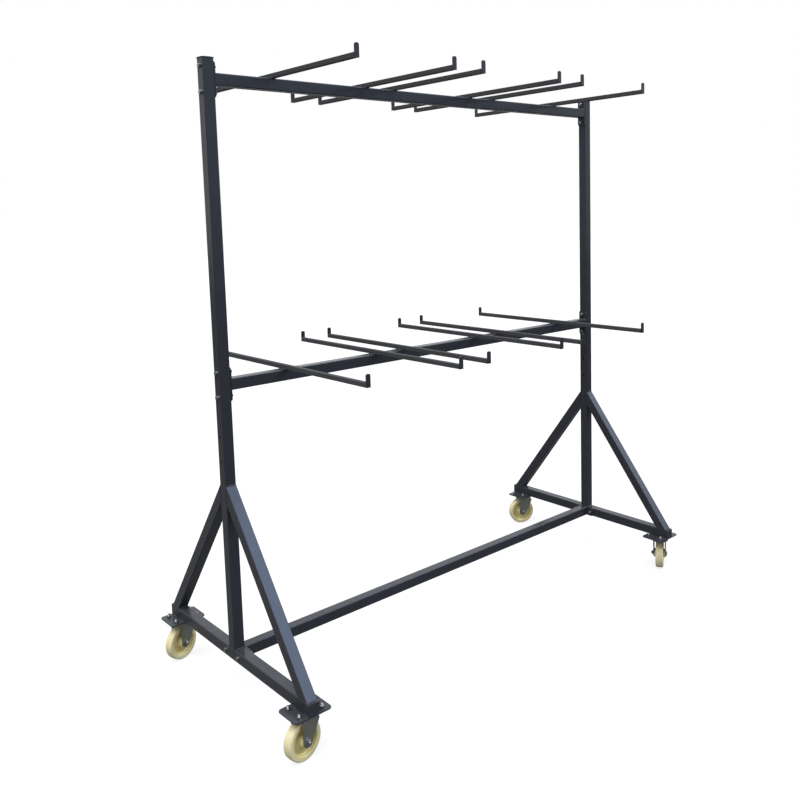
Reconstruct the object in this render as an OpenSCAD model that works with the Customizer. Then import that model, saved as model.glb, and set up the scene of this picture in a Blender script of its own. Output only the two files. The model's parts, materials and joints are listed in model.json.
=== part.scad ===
// Folding chair cart: two tiers of hanging arms on a bolted tube frame, on four swivel casters.
// X runs along the rails, Y along the arms and Z up; the floor is Z = 0.
// Front is -Y and left is -X.

/* [Frame] */
// Height of the post tops above the floor
post_top = 2097; // [1950:1:2250]
// Distance between the centre lines of the two posts
post_pitch = 1870; // [1750:1:2000]
// Side of the square frame tube
tube_w = 38; // [34:1:42]
// Wall of the frame tube
tube_wall = 2; // [1.5:0.5:3]
// Outer corner radius of the frame tube
tube_r = 3.2; // [3.2:0.1:5]
// Length of a foot tube with its end plates
foot_len = 910; // [860:1:960]
// Thickness of the plate that closes each end of a foot tube
foot_cap_t = 3; // [2:0.5:5]
// Height above the foot tube at which a brace meets its post
brace_rise = 557; // [450:1:600]
// Length of foot tube top left free outside the foot of a brace
brace_ledge = 10; // [0:1:30]

/* [Rails] */
// Distance from the post tops down to the centre of the top rail
top_rail_drop = 63; // [60:1:90]
// Height between the centres of the top rail and the mid rail
tier_gap = 959; // [900:1:1000]
// Distance from the mid rail down to the middle of the spare post holes
spare_drop = 210; // [140:1:230]
// Length of a rail end plate
end_plate_len = 110; // [102:1:116]
// Thickness of a rail end plate
end_plate_t = 4; // [3:0.5:6]
// Corner radius of a rail end plate
end_plate_r = 9; // [4:0.5:12]
// Distance between the two bolts of an end plate
bolt_pitch = 80; // [74:1:84]

/* [Arms] */
// Side of the square arm tube
arm_w = 16; // [14:1:20]
// Wall of the arm tube
arm_wall = 1.5; // [1:0.25:2]
// Outer corner radius of the arm tube
arm_r = 2.25; // [2.1:0.05:3]
// Length of an arm tube between its stop plates
arm_len = 932; // [860:1:980]
// Width of a chair bay, between the centre lines of its two arms
bay_w = 384; // [360:1:400]
// Distance between the two neighbouring arms of two bays
bay_gap = 130; // [110:1:150]
// Height of a stop plate
stop_h = 42; // [34:1:50]
// Thickness of a stop plate
stop_t = 4; // [3:0.5:6]
// Radius of the two upper corners of a stop plate
stop_r = 6; // [2:0.5:6.5]

/* [Post caps] */
// Overhang of the cap flange past the tube on each side
cap_lip = 2; // [0.5:0.5:4]
// Height of the cap flange at its middle
cap_h = 4; // [3.5:0.5:8]
// Radius of the domed top of the cap
cap_dome_r = 200; // [180:5:300]
// Depth of the plug inside the post
plug_depth = 14; // [10:1:16]
// Wall of the hollow plug
plug_wall = 2; // [1.5:0.5:3]

/* [Fasteners] */
// Diameter of the frame and plate bolts
bolt_d = 8; // [6:1:8]
// Width across the flats of their heads and nuts
bolt_af = 13; // [11:1:14]
// Height of a bolt head
bolt_head_h = 5.3; // [4:0.1:6]
// Height of a nut
nut_h = 6.5; // [5:0.5:8]
// Outer diameter of a washer
washer_d = 16; // [14:1:18]
// Thickness of a washer
washer_t = 1.6; // [1:0.2:2]
// Length of thread that stands out of the nut of a frame bolt or an axle bolt
thread_out = 3; // [2:0.5:6]
// Length of thread that stands out of the nut of a plate bolt
plate_thread_out = 7; // [2:0.5:10]

/* [Caster plates] */
// Length along X of the painted plate under a foot tube
mount_plate_x = 130; // [116:1:140]
// Length along Y of the painted plate under a foot tube
mount_plate_y = 100; // [94:1:104]
// Thickness of the painted plate
mount_plate_t = 4; // [3:0.5:6]
// Corner radius of the painted plate
mount_plate_r = 12; // [4:1:16]
// Distance from the end of the foot tube to the kingpin
kingpin_inset = 50; // [50:1:65]
// Length along X of the caster top plate
top_plate_x = 105; // [98:1:112]
// Length along Y of the caster top plate
top_plate_y = 80; // [76:1:90]
// Thickness of the caster top plate
top_plate_t = 3; // [2.5:0.5:4]
// Distance between the plate holes along X
plate_hole_x = 80; // [74:1:84]
// Distance between the plate holes along Y
plate_hole_y = 60; // [56:1:62]

/* [Casters] */
// Diameter of a wheel
wheel_d = 125; // [110:1:135]
// Width of the tread
tread_w = 32; // [28:1:36]
// How much lower the tread is at its edges than in the middle
tread_crown = 1.5; // [0.5:0.25:3]
// Radial thickness of the rim
rim_t = 18.5; // [15:0.5:20]
// Radius of the rounded edges of the rim
rim_r = 6; // [3:0.5:7]
// Thickness of the web between rim and hub
web_t = 10; // [6:1:14]
// Diameter of the wheel hub
hub_d = 38; // [34:1:44]
// Length of the wheel hub
hub_len = 46; // [44:0.5:50]
// Outer diameter of the steel bush in the wheel
bush_d = 16; // [14:0.5:20]
// Diameter of the axle bolt
axle_d = 10; // [8:1:12]
// Width across the flats of the axle bolt head and nut
axle_af = 17; // [15:1:19]
// Height of the axle nut
axle_nut_h = 8; // [6:0.5:10]
// Distance from the kingpin to the axle
trail = 16; // [12:1:30]
// Thickness of the fork plate
fork_t = 3; // [2.5:0.25:4]
// Outer bend radius where a fork leg leaves the crown
fork_bend = 6; // [5:0.5:8]
// Reach of a fork leg ahead of the kingpin, at its shoulder
leg_front = 33; // [28:1:38]
// Reach of a fork leg behind the kingpin, at its shoulder
leg_back = 34; // [30:1:42]
// Height from the top of the crown down to the shoulders of a fork leg
leg_shoulder = 13; // [8:1:20]
// Radius of the rounded end of a fork leg
leg_end_r = 17; // [14:1:20]
// Free height between the tread and the crown of the fork
crown_gap = 5; // [4.6:0.1:10]
// Radius of the crown and its dust skirt
crown_r = 36; // [35:0.5:40]
// Wall of the dust skirt round the balls
skirt_t = 2; // [1.5:0.25:2.5]
// Gap between the dust skirt and what turns inside and above it
skirt_gap = 1.5; // [1:0.25:2]
// Height of the swivel race between the crown and the top plate
race_h = 11; // [10:0.5:14]
// Diameter of the kingpin
kingpin_d = 12; // [10:1:14]
// Overhang of the kingpin's head past its shank
kingpin_lip = 4; // [2:0.5:6]
// Height of the kingpin's head
kingpin_head_h = 3; // [2.5:0.1:4]
// Diameter of a ball in the swivel race
ball_d = 6; // [5:0.5:7]
// Radius of the circle of balls
ball_ring_r = 25; // [23:0.5:27]
// Free space between neighbouring balls
ball_spacing = 1.5; // [0.5:0.25:4]

/* [Caster directions] */
// Direction that the front left wheel trails in, from +X
front_left_turn = 189; // [0:1:359]
// Direction that the rear left wheel trails in, from +X
rear_left_turn = 198; // [0:1:359]
// Direction that the rear right wheel trails in, from +X
rear_right_turn = 155; // [0:1:359]
// Direction that the front right wheel trails in, from +X
front_right_turn = 30; // [0:1:359]

/* [Clearances] */
// Radial play of a bolt in its hole
hole_play = 0.5; // [0.3:0.1:1]
// Radial play of a turning or pressed fit
fit_play = 0.05; // [0.02:0.01:0.09]
// Play between faces that turn past each other
face_play = 0.5; // [0.3:0.1:0.8]
// Play between a cap plug and its tube
plug_play = 0.2; // [0.1:0.1:0.5]

/* [Hidden] */
$fn = 48;

half_pitch = post_pitch / 2;
half_tube = tube_w / 2;

// The caster stack, from the floor up
axle_z = wheel_d / 2;
crown_under = wheel_d + crown_gap;
crown_top = crown_under + fork_t;
top_plate_z = crown_top + race_h;
mount_plate_z = top_plate_z + top_plate_t;
foot_bottom = mount_plate_z + mount_plate_t;

// The frame, from the foot tubes up
foot_z = foot_bottom + half_tube;
foot_top = foot_bottom + tube_w;
top_rail_z = post_top - top_rail_drop;
mid_rail_z = top_rail_z - tier_gap;
spare_z = mid_rail_z - spare_drop;
rail_len = post_pitch - tube_w - 2 * end_plate_t;
kingpin_y = foot_len / 2 - kingpin_inset;

// The bush spans the space between the legs, and the wheel hub has play along it
fork_gap = hub_len + 2 * face_play;
leg_out = fork_gap / 2 + fork_t;
// The straight sides of a leg end this far inside its round end, so that line and circle cross
side_bite = 0.02;

kingpin_r = kingpin_d / 2;
ball_z = crown_top + race_h / 2;
ball_count = floor(2 * PI * ball_ring_r / (ball_d + ball_spacing));
upper_race_r = crown_r - skirt_t - skirt_gap;

hole_r = bolt_d / 2 + hole_play;
grip = tube_w + end_plate_t;

// Arm centre lines along X, three bays with a gap between neighbours
arm_x = [for (bay = [-1:1], edge = [-1, 1]) bay * (bay_w + bay_gap) + edge * bay_w / 2];

// Places of the frame bolts on a post or foot tube, as [y, z]
bolt_spots = [
    for (rail_z = [top_rail_z, mid_rail_z], up = [-1, 1]) [0, rail_z + up * bolt_pitch / 2],
    for (along = [-1, 1]) [along * bolt_pitch / 2, foot_z]
];

frame_paint = [0.20, 0.22, 0.26];
zinc = [0.68, 0.70, 0.72];
nylon = [0.82, 0.79, 0.62];
black_plastic = [0.09, 0.09, 0.10];

// Flat outlines

module round_rect(w, h, r) {
    square([w - 2 * r, h], center = true);
    square([w, h - 2 * r], center = true);
    for (x = [-1, 1], y = [-1, 1])
        translate([x * (w / 2 - r), y * (h / 2 - r)]) circle(r);
}

module tube_outline(w, wall, r) {
    difference() {
        round_rect(w, w, r);
        round_rect(w - 2 * wall, w - 2 * wall, r - wall);
    }
}

// A rectangle that stands on the X axis and has two rounded upper corners
module arch_outline(w, h, r) {
    translate([-w / 2, 0]) square([w, h - r]);
    translate([r - w / 2, 0]) square([w - 2 * r, h]);
    for (side = [-1, 1]) translate([side * (w / 2 - r), h - r]) circle(r);
}

// The hollow fillet of an inside corner that lies at the origin and opens towards +X and +Y
module inside_fillet(r) translate([-r, -r]) difference() {
    square(2 * r);
    translate([2 * r, 2 * r]) circle(r);
}

// Point where a line from p touches the circle of radius r about c, on the chosen side
function touch_point(p, c, r, side) =
    let (reach = norm(p - c), turn = atan2(p.y - c.y, p.x - c.x) + side * acos(r / reach))
    c + r * [cos(turn), sin(turn)];

// Places

module on_side(side) translate([side * half_pitch, 0, 0]) children();

// Along Y, with local Z pointing to +Y
module along_y() rotate([-90, 0, 0]) children();

// At a post's outer face, with local Z pointing in towards the middle of the cart
module from_outside(side, spot)
    translate([side * (half_pitch + half_tube), spot[0], spot[1]]) rotate([0, -side * 90, 0])
        children();

module each_bolt_spot()
    for (side = [-1, 1], spot = bolt_spots) from_outside(side, spot) children();

module each_corner() for (x = [-1, 1], y = [-1, 1])
    translate([x * half_pitch, y * kingpin_y, 0]) children();

module each_plate_hole() for (x = [-1, 1], y = [-1, 1])
    translate([x * plate_hole_x / 2, y * plate_hole_y / 2, 0]) children();

module swivel_at(x_side, y_side, turn)
    translate([x_side * half_pitch, y_side * kingpin_y, 0]) rotate([0, 0, turn]) children();

// On the wheel's centre, with local Z along the axle
module on_axle() translate([trail, 0, axle_z]) along_y() children();

// Frame tubes

module post(side) color(frame_paint) difference() {
    on_side(side) translate([0, 0, foot_top])
        linear_extrude(post_top - foot_top) tube_outline(tube_w, tube_wall, tube_r);
    for (middle = [top_rail_z, mid_rail_z, spare_z], up = [-1, 1])
        from_outside(side, [0, middle + up * bolt_pitch / 2])
            translate([0, 0, -1]) cylinder(r = hole_r, h = tube_w + 2);
}

// The outer edge of a brace runs from the post to the top of the foot tube, just short of its end
module brace(side, y_side) {
    run = foot_len / 2 - half_tube - brace_ledge;
    edge_len = norm([run, brace_rise]);
    spare = 2 * tube_w;
    color(frame_paint) on_side(side) mirror([0, y_side < 0 ? 1 : 0, 0]) intersection() {
        translate([0, half_tube, foot_top + brace_rise]) rotate([atan2(run, brace_rise), 0, 0])
            translate([0, -half_tube, -edge_len - spare]) linear_extrude(edge_len + 2 * spare)
                tube_outline(tube_w, tube_wall, tube_r);
        translate([-tube_w, half_tube, foot_top]) cube([2 * tube_w, run, brace_rise]);
    }
}

module foot_tube(side) color(frame_paint) difference() {
    on_side(side) translate([0, foot_cap_t - foot_len / 2, foot_z]) along_y()
        linear_extrude(foot_len - 2 * foot_cap_t) tube_outline(tube_w, tube_wall, tube_r);
    for (along = [-1, 1]) from_outside(side, [along * bolt_pitch / 2, foot_z])
        translate([0, 0, -1]) cylinder(r = hole_r, h = tube_w + 2);
}

module foot_end_plates() color(frame_paint)
    for (side = [-1, 1], y = [-foot_len / 2, foot_len / 2 - foot_cap_t])
        on_side(side) translate([0, y, foot_z]) along_y()
            linear_extrude(foot_cap_t) round_rect(tube_w, tube_w, tube_r);

// A square plastic cap: domed flange over the tube end and a hollow plug inside it
module post_caps() {
    flange_w = tube_w + 2 * cap_lip;
    plug_w = tube_w - 2 * tube_wall - 2 * plug_play;
    color(black_plastic) for (side = [-1, 1]) on_side(side) translate([0, 0, post_top]) {
        intersection() {
            linear_extrude(cap_h) round_rect(flange_w, flange_w, tube_r + cap_lip);
            translate([0, 0, cap_h - cap_dome_r]) sphere(cap_dome_r, $fn = 360);
        }
        translate([0, 0, -plug_depth]) difference() {
            linear_extrude(plug_depth + cap_h / 4) round_rect(plug_w, plug_w, tube_r - tube_wall);
            translate([0, 0, -1]) linear_extrude(plug_depth)
                square(plug_w - 2 * plug_wall, center = true);
        }
    }
}

// Rails and their end plates

module rail(z) color(frame_paint) translate([-rail_len / 2, 0, z]) rotate([0, 90, 0])
    linear_extrude(rail_len) tube_outline(tube_w, tube_wall, tube_r);

// A plate against the inner face of each post or foot tube; turn lays it along Y
module end_plates(z, turn) color(frame_paint) for (side = [-1, 1])
    from_outside(side, [0, z]) translate([0, 0, tube_w]) rotate([0, 0, turn]) difference() {
        linear_extrude(end_plate_t) round_rect(end_plate_len, tube_w, end_plate_r);
        for (along = [-1, 1]) translate([along * bolt_pitch / 2, 0, -1])
            cylinder(r = hole_r, h = end_plate_t + 2);
    }

// Arms

module arm(number, rail_z) color(frame_paint)
    translate([arm_x[number - 1], -arm_len / 2, rail_z + half_tube + arm_w / 2]) along_y()
        linear_extrude(arm_len) tube_outline(arm_w, arm_wall, arm_r);

module arm_stops(rail_z) color(frame_paint)
    for (x = arm_x, y = [-arm_len / 2, arm_len / 2 + stop_t])
        translate([x, y, rail_z + half_tube]) rotate([90, 0, 0])
            linear_extrude(stop_t) arch_outline(arm_w, stop_h, stop_r);

// Fasteners

module hexagon(across_flats, h) cylinder(d = across_flats / cos(30), h = h, $fn = 6);

module bolt(length) {
    translate([0, 0, -bolt_head_h]) hexagon(bolt_af, bolt_head_h);
    translate([0, 0, -bolt_head_h / 2]) cylinder(d = bolt_d, h = length + bolt_head_h / 2);
}

module nut() difference() {
    hexagon(bolt_af, nut_h);
    translate([0, 0, -1]) cylinder(r = bolt_d / 2 + fit_play, h = nut_h + 2);
}

module washer() difference() {
    cylinder(d = washer_d, h = washer_t);
    translate([0, 0, -1]) cylinder(r = bolt_d / 2 + hole_play / 2, h = washer_t + 2);
}

module frame_bolts() color(zinc) each_bolt_spot() translate([0, 0, -washer_t])
    bolt(grip + 2 * washer_t + nut_h + thread_out);

module frame_nuts() color(zinc) each_bolt_spot() translate([0, 0, grip + washer_t]) nut();

module frame_washers() color(zinc) each_bolt_spot() {
    translate([0, 0, -washer_t]) washer();
    translate([0, 0, grip]) washer();
}

module plate_bolts() color(zinc) each_corner() each_plate_hole() translate([0, 0, top_plate_z])
    bolt(top_plate_t + mount_plate_t + nut_h + plate_thread_out);

module plate_nuts() color(zinc) each_corner() each_plate_hole()
    translate([0, 0, foot_bottom]) nut();

// Caster parts that stay with the frame

module mount_plates() color(frame_paint) each_corner() translate([0, 0, mount_plate_z])
    difference() {
        linear_extrude(mount_plate_t) round_rect(mount_plate_x, mount_plate_y, mount_plate_r);
        each_plate_hole() translate([0, 0, -1]) cylinder(r = hole_r, h = mount_plate_t + 2);
    }

// The ring of space that the balls run in
module ball_groove() translate([0, 0, ball_z])
    rotate_extrude() translate([ball_ring_r, 0]) circle(ball_d / 2 + 2 * fit_play);

module caster_top_plates() color(zinc) each_corner() difference() {
    union() {
        translate([0, 0, top_plate_z]) linear_extrude(top_plate_t)
            round_rect(top_plate_x, top_plate_y, mount_plate_r / 2);
        translate([0, 0, ball_z + face_play])
            cylinder(r = upper_race_r, h = mount_plate_z - ball_z - face_play);
    }
    ball_groove();
    translate([0, 0, ball_z]) cylinder(r = kingpin_r + fit_play, h = race_h);
    translate([0, 0, top_plate_z]) countersink(kingpin_r + fit_play, 2 * top_plate_t);
    each_plate_hole() translate([0, 0, top_plate_z - 1]) cylinder(r = hole_r, h = top_plate_t + 2);
}

// A cone that widens as fast as it rises
module countersink(r, h) cylinder(r1 = r, r2 = r + h, h = h);

// A riveted pin: countersunk in the top plate, with a round head under the crown
module kingpins() color(zinc) each_corner() {
    head_z = crown_under - face_play - kingpin_head_h;
    translate([0, 0, head_z]) cylinder(r = kingpin_r + kingpin_lip, h = kingpin_head_h);
    translate([0, 0, head_z]) cylinder(r = kingpin_r, h = mount_plate_z - head_z);
    translate([0, 0, top_plate_z]) countersink(kingpin_r, top_plate_t);
}

module swivel_balls() color(zinc) each_corner() for (i = [0:ball_count - 1])
    rotate([0, 0, i * 360 / ball_count]) translate([ball_ring_r, 0, ball_z]) sphere(ball_d / 2);

// Caster parts that swivel; local X is the direction of trail

// A leg leaves the round crown along a chord, widens to its shoulders and tapers to its round end
module leg_outline() {
    axle = [trail, axle_z];
    half_chord = sqrt(pow(crown_r, 2) - pow(leg_out, 2));
    front = [-leg_front, crown_top - leg_shoulder];
    back = [leg_back, crown_top - leg_shoulder];
    polygon([
        [-half_chord, crown_top], [half_chord, crown_top],
        back, touch_point(back, axle, leg_end_r - side_bite, -1), axle,
        touch_point(front, axle, leg_end_r - side_bite, 1), front
    ]);
    translate(axle) circle(leg_end_r);
}

// Section of the bent fork plate, seen along the trail
module fork_section() difference() {
    arch_outline(2 * leg_out, crown_top, fork_bend);
    translate([0, -1]) arch_outline(fork_gap, crown_under + 1, fork_bend - fork_t);
}

// The round crown: a lower race, and a skirt round it that keeps dust off the balls
module crown() difference() {
    translate([0, 0, crown_under]) cylinder(r = crown_r, h = top_plate_z - skirt_gap - crown_under);
    translate([0, 0, ball_z - face_play]) cylinder(r = crown_r - skirt_t, h = race_h);
}

module fork() color(zinc) difference() {
    union() {
        intersection() {
            translate([-2 * leg_front, 0, 0]) rotate([90, 0, 90])
                linear_extrude(2 * (leg_front + leg_back)) fork_section();
            rotate([90, 0, 0]) linear_extrude(3 * leg_out, center = true) leg_outline();
        }
        crown();
    }
    ball_groove();
    translate([0, 0, crown_under - 1]) cylinder(r = kingpin_r + fit_play, h = fork_t + race_h);
    on_axle() cylinder(r = axle_d / 2 + fit_play, h = 4 * leg_out, center = true);
}

module axle_bolt() color(zinc) on_axle() {
    translate([0, 0, -leg_out - bolt_head_h]) hexagon(axle_af, bolt_head_h);
    translate([0, 0, -leg_out - bolt_head_h / 2])
        cylinder(d = axle_d, h = 2 * leg_out + bolt_head_h / 2 + axle_nut_h + thread_out);
}

module axle_nut() color(zinc) on_axle() translate([0, 0, leg_out]) difference() {
    hexagon(axle_af, axle_nut_h);
    translate([0, 0, -1]) cylinder(r = axle_d / 2 + fit_play, h = axle_nut_h + 2);
}

module bush() color(zinc) on_axle() difference() {
    cylinder(d = bush_d, h = fork_gap, center = true);
    cylinder(r = axle_d / 2 + fit_play, h = fork_gap + 2, center = true);
}

// Half of the wheel's section, with the axle along Y: crowned rim, dished web and hub
module wheel_section() {
    rim_in = wheel_d / 2 - rim_t;
    crown_arc = (pow(tread_w / 2, 2) + pow(tread_crown, 2)) / (2 * tread_crown);
    dish_r = tread_w / 2 - rim_r - web_t / 2;
    intersection() {
        translate([rim_in + rim_t / 2, 0]) round_rect(rim_t, tread_w, rim_r);
        translate([wheel_d / 2 - crown_arc, 0]) circle(crown_arc, $fn = 200);
    }
    translate([hub_d / 4 + rim_in / 2, 0])
        square([rim_in - hub_d / 2 + rim_t, web_t], center = true);
    for (side = [0, 1]) mirror([0, side]) {
        translate([hub_d / 2, web_t / 2]) inside_fillet(dish_r);
        translate([rim_in, web_t / 2]) mirror([1, 0]) inside_fillet(dish_r);
    }
    translate([bush_d / 2 + fit_play, -hub_len / 2])
        square([hub_d / 2 - bush_d / 2 - fit_play, hub_len]);
}

module wheel() color(nylon) on_axle() rotate_extrude($fn = 96) wheel_section();

post(-1);  // left_post
post(1);  // right_post
brace(-1, -1);  // left_front_brace
brace(-1, 1);  // left_rear_brace
brace(1, -1);  // right_front_brace
brace(1, 1);  // right_rear_brace
foot_tube(-1);  // left_foot_tube
foot_tube(1);  // right_foot_tube
foot_end_plates();
post_caps();
mount_plates();
rail(top_rail_z);  // top_rail
rail(mid_rail_z);  // mid_rail
rail(foot_z);  // lower_rail
end_plates(top_rail_z, 0);  // top_rail_end_plates
end_plates(mid_rail_z, 0);  // mid_rail_end_plates
end_plates(foot_z, 90);  // lower_rail_end_plates
arm(1, top_rail_z);  // top_arm_1
arm(2, top_rail_z);  // top_arm_2
arm(3, top_rail_z);  // top_arm_3
arm(4, top_rail_z);  // top_arm_4
arm(5, top_rail_z);  // top_arm_5
arm(6, top_rail_z);  // top_arm_6
arm(1, mid_rail_z);  // mid_arm_1
arm(2, mid_rail_z);  // mid_arm_2
arm(3, mid_rail_z);  // mid_arm_3
arm(4, mid_rail_z);  // mid_arm_4
arm(5, mid_rail_z);  // mid_arm_5
arm(6, mid_rail_z);  // mid_arm_6
arm_stops(top_rail_z);  // top_arm_stops
arm_stops(mid_rail_z);  // mid_arm_stops
frame_bolts();
frame_nuts();
frame_washers();
plate_bolts();
plate_nuts();
caster_top_plates();
kingpins();
swivel_balls();
swivel_at(-1, -1, front_left_turn) fork();  // front_left_fork
swivel_at(-1, -1, front_left_turn) axle_bolt();  // front_left_axle
swivel_at(-1, -1, front_left_turn) axle_nut();  // front_left_axle_nut
swivel_at(-1, -1, front_left_turn) bush();  // front_left_bush
swivel_at(-1, -1, front_left_turn) wheel();  // front_left_wheel
swivel_at(-1, 1, rear_left_turn) fork();  // rear_left_fork
swivel_at(-1, 1, rear_left_turn) axle_bolt();  // rear_left_axle
swivel_at(-1, 1, rear_left_turn) axle_nut();  // rear_left_axle_nut
swivel_at(-1, 1, rear_left_turn) bush();  // rear_left_bush
swivel_at(-1, 1, rear_left_turn) wheel();  // rear_left_wheel
swivel_at(1, 1, rear_right_turn) fork();  // rear_right_fork
swivel_at(1, 1, rear_right_turn) axle_bolt();  // rear_right_axle
swivel_at(1, 1, rear_right_turn) axle_nut();  // rear_right_axle_nut
swivel_at(1, 1, rear_right_turn) bush();  // rear_right_bush
swivel_at(1, 1, rear_right_turn) wheel();  // rear_right_wheel
swivel_at(1, -1, front_right_turn) fork();  // front_right_fork
swivel_at(1, -1, front_right_turn) axle_bolt();  // front_right_axle
swivel_at(1, -1, front_right_turn) axle_nut();  // front_right_axle_nut
swivel_at(1, -1, front_right_turn) bush();  // front_right_bush
swivel_at(1, -1, front_right_turn) wheel();  // front_right_wheel
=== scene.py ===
import json
import math

import bmesh
import bpy
from mathutils import Matrix, Vector

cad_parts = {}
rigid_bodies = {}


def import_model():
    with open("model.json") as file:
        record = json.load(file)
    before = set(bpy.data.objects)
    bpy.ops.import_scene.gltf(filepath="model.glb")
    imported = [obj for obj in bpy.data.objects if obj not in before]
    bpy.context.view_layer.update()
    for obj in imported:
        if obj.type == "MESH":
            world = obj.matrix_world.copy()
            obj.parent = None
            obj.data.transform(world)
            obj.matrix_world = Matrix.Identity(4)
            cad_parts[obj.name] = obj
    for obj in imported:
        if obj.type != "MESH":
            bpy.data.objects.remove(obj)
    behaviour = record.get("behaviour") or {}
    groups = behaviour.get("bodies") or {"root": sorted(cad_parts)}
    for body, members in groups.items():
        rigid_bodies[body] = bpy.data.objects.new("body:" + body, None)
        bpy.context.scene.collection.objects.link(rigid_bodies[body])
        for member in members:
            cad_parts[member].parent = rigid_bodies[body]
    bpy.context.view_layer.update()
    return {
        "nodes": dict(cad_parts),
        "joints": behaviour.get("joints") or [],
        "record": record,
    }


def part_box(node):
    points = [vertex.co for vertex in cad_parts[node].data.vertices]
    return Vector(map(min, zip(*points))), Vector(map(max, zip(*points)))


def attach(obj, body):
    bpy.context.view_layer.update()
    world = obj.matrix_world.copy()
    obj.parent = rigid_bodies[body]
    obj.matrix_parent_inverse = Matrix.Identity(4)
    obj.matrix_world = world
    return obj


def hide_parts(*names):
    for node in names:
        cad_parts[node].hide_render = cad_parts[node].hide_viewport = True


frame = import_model()

# Camera: where the photograph was taken from, in the cart's own frame, in metres and degrees
IMAGE_SIDE = 800
SENSOR_WIDTH = 36.0
CAMERA_PLACE = Vector((-2.1968, -2.4359, 1.6142))
CAMERA_HEADING = 42.037
CAMERA_PITCH = -6.334
CAMERA_ROLL = -1.46
FOCAL_PIXELS = 840.36
OPTICAL_CENTRE_PIXEL = (436.9, 303.5)

# Light: a wide soft source overhead, a smaller cool one in front, and grey light from all
# round that grows towards a wall on the left; spreads in degrees, the floor in metres
OVERHEAD_HEADING = (-0.34, -0.08, 0.93)
OVERHEAD_STRENGTH = 3.1
OVERHEAD_SPREAD = 50.0
OVERHEAD_COLOUR = (1.0, 1.0, 1.0)
FRONT_HEADING = (0.55, -0.55, 0.63)
FRONT_STRENGTH = 1.5
FRONT_SPREAD = 35.0
FRONT_COLOUR = (0.88, 0.97, 1.12)
ROOM_GREY = (0.22, 0.23, 0.245)
LEFT_WALL_GREY = (0.70, 0.67, 0.64)
LEFT_WALL_IN_GLOSS = 0.35
LEFT_WALL_FULL = -0.8
LEFT_WALL_GONE = 0.0
FLOOR_GREY = 0.20
FLOOR_GLOW = 0.82
FLOOR_REACH = 3.0
FLOOR_IN_GLOSS = 0.14
DARK_FLOOR_IN_GLOSS = 0.08
FLOOR_HALF_SIDE = 30.0

# Finishes: linear colours, and shares of one
SLATE_PAINT = (0.031, 0.033, 0.040)
PAINT_SHEEN = (0.60, 0.73, 1.0)
PAINT_GLOSS = 0.32
PAINT_ROUGHNESS = 0.17
# Painted shading: the arms' copy of the slate paint is lighter and almost without gloss, set
# for how light falls on the arms
ARM_PAINTED_SHADING = (0.060, 0.062, 0.068)
ARM_GLOSS = 0.02
ARM_ROUGHNESS = 0.45
# Edges take this lighter colour partly as wear and partly as a painted highlight; scratches
# take it as wear
WORN_AND_HIGHLIGHT_PAINT = (0.060, 0.066, 0.076)
SCRATCHES_SHOW = 0.4
DUST = (0.30, 0.29, 0.27)
BRIGHT_ZINC = (0.28, 0.29, 0.32)
CASTER_ZINC = (0.27, 0.29, 0.275)
PASSIVATION_TINT = (1.05, 0.97, 0.74)
ZINC_EDGE_GAIN = 1.5
CREAM_NYLON = (0.76, 0.70, 0.44)
AMBER_NYLON = (0.68, 0.59, 0.23)
AMBER_SHARE = 0.85
TREAD_GREYING = 0.16
NYLON_ROUGHNESS = 0.36
BLACK_PLASTIC = (0.014, 0.014, 0.016)
PLASTIC_ROUGHNESS = 0.42

# Weld beads, in metres, with the ripple's depth as a share of the bead; an inset is how far a
# bead stops short of a corner or an end
BEAD_RADIUS = 0.0024
SMALL_BEAD_RADIUS = 0.0017
FLUSH_BEAD_RADIUS = 0.0012
RIPPLE_PITCH = 0.0028
RIPPLE_DEPTH = 0.10
RIPPLE_STEP = 0.0008
STITCH_LENGTH = 0.028
STITCH_INSET = 0.004
CORNER_INSET = 0.003
ARM_BEAD_INSET = 0.002
ARM_BEAD_SINK = 0.0005
ARM_BEAD_LIFT = 0.0006
STOP_BEAD_HALF = 0.0055

# Fasteners, in metres and degrees
M8_ACROSS_FLATS = 0.013
M8_HEAD_HEIGHT = 0.0053
M8_THREAD = 0.008
M8_PITCH = 0.00125
M10_ACROSS_FLATS = 0.017
M10_HEAD_HEIGHT = 0.0053
M10_NUT_HEIGHT = 0.008
M10_THREAD = 0.010
M10_PITCH = 0.0015
THREAD_SHOWN = 0.0045
LONG_THREAD_SHOWN = 0.0085
THREAD_CLEARANCE = 0.00005
THREAD_START_GAP = 0.0001
THREAD_DEPTH_SHARE = 0.55
RINGS_PER_TURN = 5
ROUND_STEPS = 24
TURNED_SHARE = 0.95
CHAMFER = 30.0
COUNTERSINK = 0.0006
SMOOTH_BELOW = 22.0
FORK_HALF_WIDTH = 0.0265
AXLE_PAST_NUT = 0.003

WHITE = (1.0, 1.0, 1.0, 1.0)
CORNERS = ("front_left", "rear_left", "rear_right", "front_right")
TIERS = ("top", "mid")
ARMS_PER_TIER = 6
AXLE_SEED = 10
AXLE_NUT_SEED = 20
MERGE_DISTANCE = 1e-6
NODE_SPACING = 220

# Places of sockets that share their names with others of the same node
MIX_FACTOR, MIX_FIRST, MIX_SECOND, MIX_COLOUR = 0, 6, 7, 2
RANDOM_HIGHEST, RANDOM_NUMBER = 3, 1


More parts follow.
